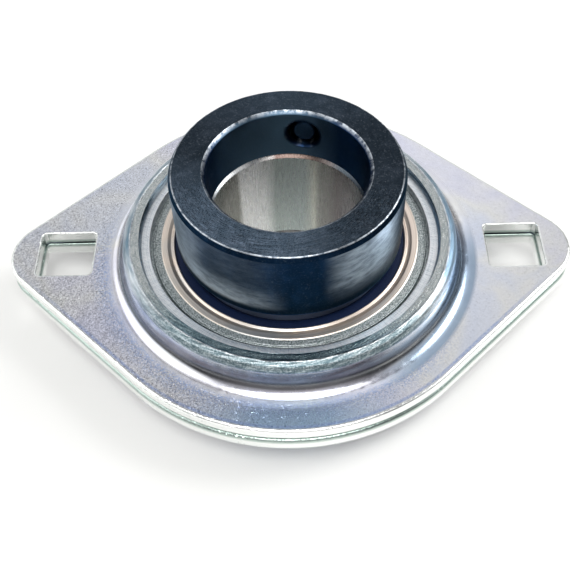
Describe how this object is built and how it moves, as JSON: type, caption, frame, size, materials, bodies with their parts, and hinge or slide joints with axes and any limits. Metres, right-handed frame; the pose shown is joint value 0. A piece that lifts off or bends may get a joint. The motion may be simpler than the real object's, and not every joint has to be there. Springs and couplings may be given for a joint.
{
  "type": "flange mount bearing",
  "caption": "Two-bolt pressed-steel flange unit with a self-aligning insert ball bearing and an eccentric locking collar.",
  "frame": {"origin": "centre of the spherical seat and of the outer ring, on the shaft axis, midway between the two pressings", "axes": "+Z along the shaft towards the locking collar, +X towards one bolt hole, so the bolt line lies along X"},
  "size_m": [0.113, 0.084, 0.0354],
  "materials": {
    "zinc_sheet": "satin zinc plate with a blue passivate",
    "ring_steel": "ground and polished",
    "black_oxide": "oiled black oxide, turned",
    "shield_steel": "stamped, satin",
    "seal_rubber": "moulded, matt",
    "cage_steel": "pressed strip",
    "ball_steel": "mirror polished"
  },
  "bodies": {
    "housing": {"front_flange": "zinc_sheet", "rear_flange": "zinc_sheet"},
    "insert": {"outer_ring": "ring_steel", "front_shield": "shield_steel", "rear_shield": "shield_steel", "front_seal": "seal_rubber", "rear_seal": "seal_rubber"},
    "shaft_ring": {"inner_ring": "ring_steel"},
    "collar": {"locking_collar": "black_oxide"},
    "screw": {"set_screw": "black_oxide"},
    "cage": {"cage_front": "cage_steel", "cage_rear": "cage_steel", "cage_rivets": "cage_steel"},
    "rolling_ball_1": {"ball_1": "ball_steel"},
    "rolling_ball_2": {"ball_2": "ball_steel"},
    "rolling_ball_3": {"ball_3": "ball_steel"},
    "rolling_ball_4": {"ball_4": "ball_steel"},
    "rolling_ball_5": {"ball_5": "ball_steel"},
    "rolling_ball_6": {"ball_6": "ball_steel"},
    "rolling_ball_7": {"ball_7": "ball_steel"},
    "rolling_ball_8": {"ball_8": "ball_steel"},
    "rolling_ball_9": {"ball_9": "ball_steel"}
  },
  "joints": [
    {"name": "self_align", "type": "hinge", "parent": "housing", "child": "insert", "pos_m": [0, 0, 0], "axis": [1, 0, 0], "range_deg": [-3, 3]},
    {"name": "shaft_spin", "type": "hinge", "parent": "insert", "child": "shaft_ring", "pos_m": [0, 0, 0], "axis": [0, 0, 1], "continuous": true},
    {"name": "collar_lock", "type": "hinge", "parent": "shaft_ring", "child": "collar", "pos_m": [0, 0, 0], "axis": [0, 0, 1], "range_deg": [-20, 20]},
    {"name": "set_screw_travel", "type": "slide", "parent": "collar", "child": "screw", "axis": [0.2079, 0.9781, 0], "range_m": [-0.0008, 0.003]},
    {"name": "cage_orbit", "type": "hinge", "parent": "insert", "child": "cage", "pos_m": [0, 0, 0], "axis": [0, 0, 1], "continuous": true},
    {"name": "ball_1_spin", "type": "hinge", "parent": "cage", "child": "rolling_ball_1", "pos_m": [0.02161, 0.00787, 0], "axis": [0, 0, 1], "continuous": true},
    {"name": "ball_2_spin", "type": "hinge", "parent": "cage", "child": "rolling_ball_2", "pos_m": [0.0115, 0.01992, 0], "axis": [0, 0, 1], "continuous": true},
    {"name": "ball_3_spin", "type": "hinge", "parent": "cage", "child": "rolling_ball_3", "pos_m": [-0.00399, 0.02265, 0], "axis": [0, 0, 1], "continuous": true},
    {"name": "ball_4_spin", "type": "hinge", "parent": "cage", "child": "rolling_ball_4", "pos_m": [-0.01762, 0.01478, 0], "axis": [0, 0, 1], "continuous": true},
    {"name": "ball_5_spin", "type": "hinge", "parent": "cage", "child": "rolling_ball_5", "pos_m": [-0.023, 0, 0], "axis": [0, 0, 1], "continuous": true},
    {"name": "ball_6_spin", "type": "hinge", "parent": "cage", "child": "rolling_ball_6", "pos_m": [-0.01762, -0.01478, 0], "axis": [0, 0, 1], "continuous": true},
    {"name": "ball_7_spin", "type": "hinge", "parent": "cage", "child": "rolling_ball_7", "pos_m": [-0.00399, -0.02265, 0], "axis": [0, 0, 1], "continuous": true},
    {"name": "ball_8_spin", "type": "hinge", "parent": "cage", "child": "rolling_ball_8", "pos_m": [0.0115, -0.01992, 0], "axis": [0, 0, 1], "continuous": true},
    {"name": "ball_9_spin", "type": "hinge", "parent": "cage", "child": "rolling_ball_9", "pos_m": [0.02161, -0.00787, 0], "axis": [0, 0, 1], "continuous": true}
  ],
  "couplings": [
    {"joint": "cage_orbit", "follows": "shaft_spin", "ratio": 0.39647},
    {"joint": "ball_1_spin", "follows": "shaft_spin", "ratio": -2.3112},
    {"joint": "ball_2_spin", "follows": "shaft_spin", "ratio": -2.3112},
    {"joint": "ball_3_spin", "follows": "shaft_spin", "ratio": -2.3112},
    {"joint": "ball_4_spin", "follows": "shaft_spin", "ratio": -2.3112},
    {"joint": "ball_5_spin", "follows": "shaft_spin", "ratio": -2.3112},
    {"joint": "ball_6_spin", "follows": "shaft_spin", "ratio": -2.3112},
    {"joint": "ball_7_spin", "follows": "shaft_spin", "ratio": -2.3112},
    {"joint": "ball_8_spin", "follows": "shaft_spin", "ratio": -2.3112},
    {"joint": "ball_9_spin", "follows": "shaft_spin", "ratio": -2.3112}
  ]
}
